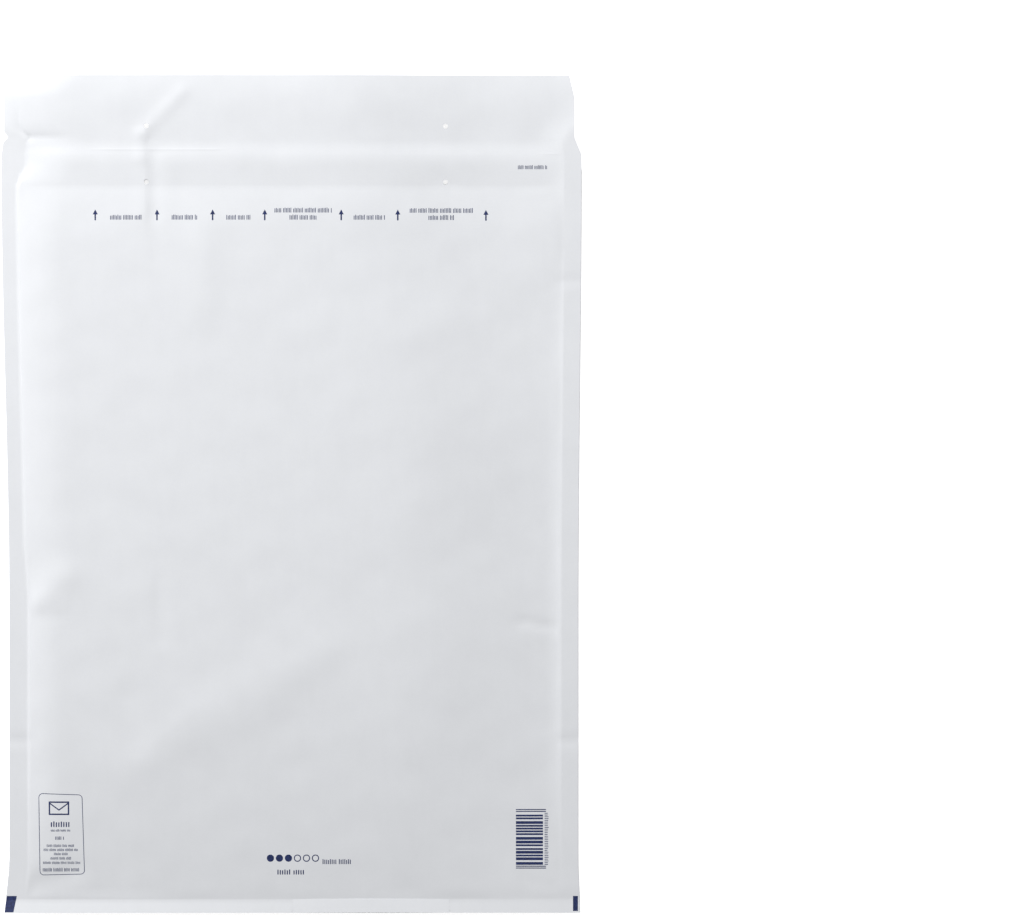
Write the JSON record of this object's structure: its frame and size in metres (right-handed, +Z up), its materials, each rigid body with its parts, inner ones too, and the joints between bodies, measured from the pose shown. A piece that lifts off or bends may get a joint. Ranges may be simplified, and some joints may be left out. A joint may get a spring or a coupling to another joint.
{
  "type": "padded envelope",
  "caption": "Large white paper mailing envelope lined with bubble film, lying flat with its self-seal flap open and its mouth free.",
  "frame": {"origin": "middle of the outline seen from above, on the surface that the envelope lies on", "axes": "+X across the width, +Y from the foot fold to the flap, +Z up out of the printed panel"},
  "size_m": [0.367, 0.53, 0.016],
  "materials": {
    "cover_paper": "smooth white kraft paper, faintly calendered",
    "bubble_film": "clear soft bubble film",
    "glue": "clear tacky hot-melt glue",
    "release_paper": "glossy silicone-coated paper"
  },
  "bodies": {
    "root": {"paper_cover": "cover_paper", "bubble_liner": "bubble_film", "adhesive_strip": "glue", "release_strip": "release_paper"}
  },
  "joints": []
}
